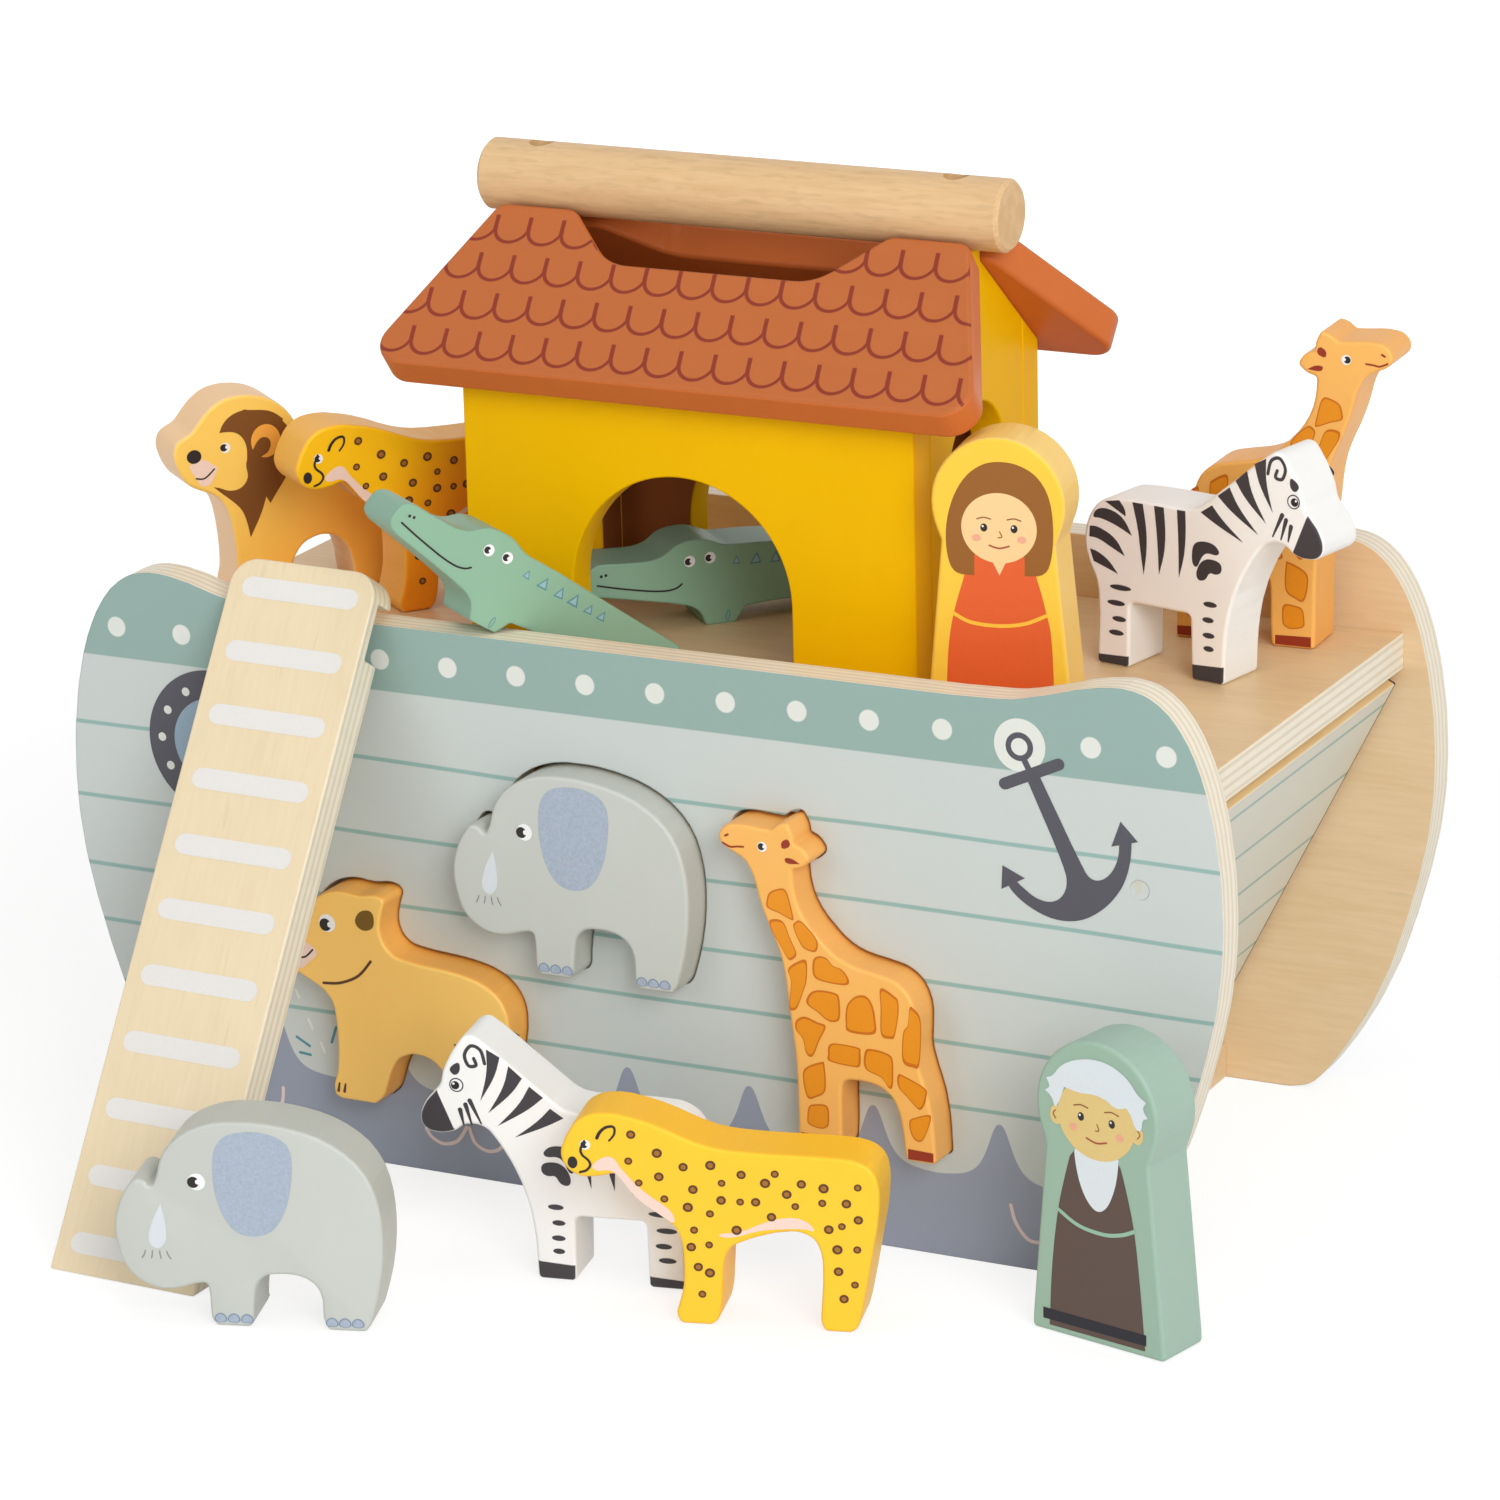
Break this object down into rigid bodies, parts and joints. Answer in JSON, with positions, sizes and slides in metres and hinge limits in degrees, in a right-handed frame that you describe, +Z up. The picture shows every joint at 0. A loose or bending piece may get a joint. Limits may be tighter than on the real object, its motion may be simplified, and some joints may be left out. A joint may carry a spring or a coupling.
{
  "type": "wooden toy ark",
  "caption": "Wooden posting-toy ark with a gabled house, carrying handle, swinging stern flap, hooked gangplank and loose sawn animals and people",
  "frame": {"origin": "on the table under the middle of the hull", "axes": "+X from bow to stern, +Y from the posting side to the far side, +Z up"},
  "size_m": [0.4118, 0.3362, 0.3168],
  "materials": {
    "hull_paint": "printed and lacquered plywood, pale grey-green",
    "ply_wood": "clear lacquered birch plywood",
    "dowel_wood": "clear lacquered turned wood",
    "house_paint": "satin yellow paint on plywood",
    "roof_paint": "satin terracotta paint with scale print",
    "screw_steel": "zinc plated",
    "grey_paint": "satin grey paint",
    "orange_paint": "satin orange paint",
    "gold_paint": "satin golden yellow paint",
    "white_paint": "satin white paint",
    "sage_paint": "satin sage green paint"
  },
  "bodies": {
    "ark": {"hull_side_front": "hull_paint", "hull_side_back": "hull_paint", "deck": "ply_wood", "base_board": "ply_wood", "bow_board": "hull_paint", "hull_dowels": "dowel_wood", "flap_pins": "dowel_wood", "house_front": "house_paint", "house_back": "house_paint", "house_gable_bow": "house_paint", "house_gable_stern": "house_paint", "house_pegs": "dowel_wood", "roof_front": "roof_paint", "roof_back": "roof_paint", "ridge_handle": "dowel_wood", "ridge_screws": "screw_steel"},
    "flap": {"stern_flap": "hull_paint"},
    "gangplank": {"gangplank": "ply_wood"},
    "elephant_posted_body": {"elephant_posted": "grey_paint"},
    "lioness_posted_body": {"lioness_posted": "orange_paint"},
    "giraffe_posted_body": {"giraffe_posted": "orange_paint"},
    "lion_body": {"lion": "orange_paint"},
    "cheetah_deck_body": {"cheetah_deck": "gold_paint"},
    "crocodile_rim_body": {"crocodile_rim": "sage_paint"},
    "crocodile_house_body": {"crocodile_house": "sage_paint"},
    "zebra_deck_body": {"zebra_deck": "white_paint"},
    "giraffe_deck_body": {"giraffe_deck": "orange_paint"},
    "elephant_ground_body": {"elephant_ground": "grey_paint"},
    "zebra_ground_body": {"zebra_ground": "white_paint"},
    "cheetah_ground_body": {"cheetah_ground": "gold_paint"},
    "man_body": {"man": "sage_paint"},
    "woman_body": {"woman": "gold_paint"}
  },
  "joints": [
    {"name": "flap_hinge", "type": "hinge", "parent": "ark", "child": "flap", "pos_m": [0.1732, 0, 0.1272], "axis": [0, 1, 0], "range_deg": [0, 40]},
    {"name": "gangplank_lift", "type": "slide", "parent": "ark", "child": "gangplank", "axis": [0, 0, 1], "range_m": [0, 0.02]},
    {"name": "elephant_posted_pull", "type": "slide", "parent": "ark", "child": "elephant_posted_body", "axis": [0, -1, 0], "range_m": [0, 0.025]},
    {"name": "lioness_posted_pull", "type": "slide", "parent": "ark", "child": "lioness_posted_body", "axis": [0, -1, 0], "range_m": [0, 0.025]},
    {"name": "giraffe_posted_pull", "type": "slide", "parent": "ark", "child": "giraffe_posted_body", "axis": [0, -1, 0], "range_m": [0, 0.025]},
    {"name": "lion_lift", "type": "slide", "parent": "ark", "child": "lion_body", "axis": [0, 0, 1], "range_m": [0, 0.04]},
    {"name": "cheetah_deck_lift", "type": "slide", "parent": "ark", "child": "cheetah_deck_body", "axis": [0, 0, 1], "range_m": [0, 0.025]},
    {"name": "crocodile_rim_lift", "type": "slide", "parent": "ark", "child": "crocodile_rim_body", "axis": [0, 0, 1], "range_m": [0, 0.01]},
    {"name": "crocodile_house_lift", "type": "slide", "parent": "ark", "child": "crocodile_house_body", "axis": [0, 0, 1], "range_m": [0, 0.015]},
    {"name": "zebra_deck_lift", "type": "slide", "parent": "ark", "child": "zebra_deck_body", "axis": [0, 0, 1], "range_m": [0, 0.04]},
    {"name": "giraffe_deck_lift", "type": "slide", "parent": "ark", "child": "giraffe_deck_body", "axis": [0, 0, 1], "range_m": [0, 0.04]},
    {"name": "elephant_ground_lift", "type": "slide", "parent": "ark", "child": "elephant_ground_body", "axis": [0, 0, 1], "range_m": [0, 0.04]},
    {"name": "zebra_ground_lift", "type": "slide", "parent": "ark", "child": "zebra_ground_body", "axis": [0, 0, 1], "range_m": [0, 0.04]},
    {"name": "cheetah_ground_lift", "type": "slide", "parent": "ark", "child": "cheetah_ground_body", "axis": [0, 0, 1], "range_m": [0, 0.04]},
    {"name": "man_lift", "type": "slide", "parent": "ark", "child": "man_body", "axis": [0, 0, 1], "range_m": [0, 0.04]},
    {"name": "woman_pull", "type": "slide", "parent": "ark", "child": "woman_body", "axis": [1, 0, 0], "range_m": [0, 0.03]}
  ]
}
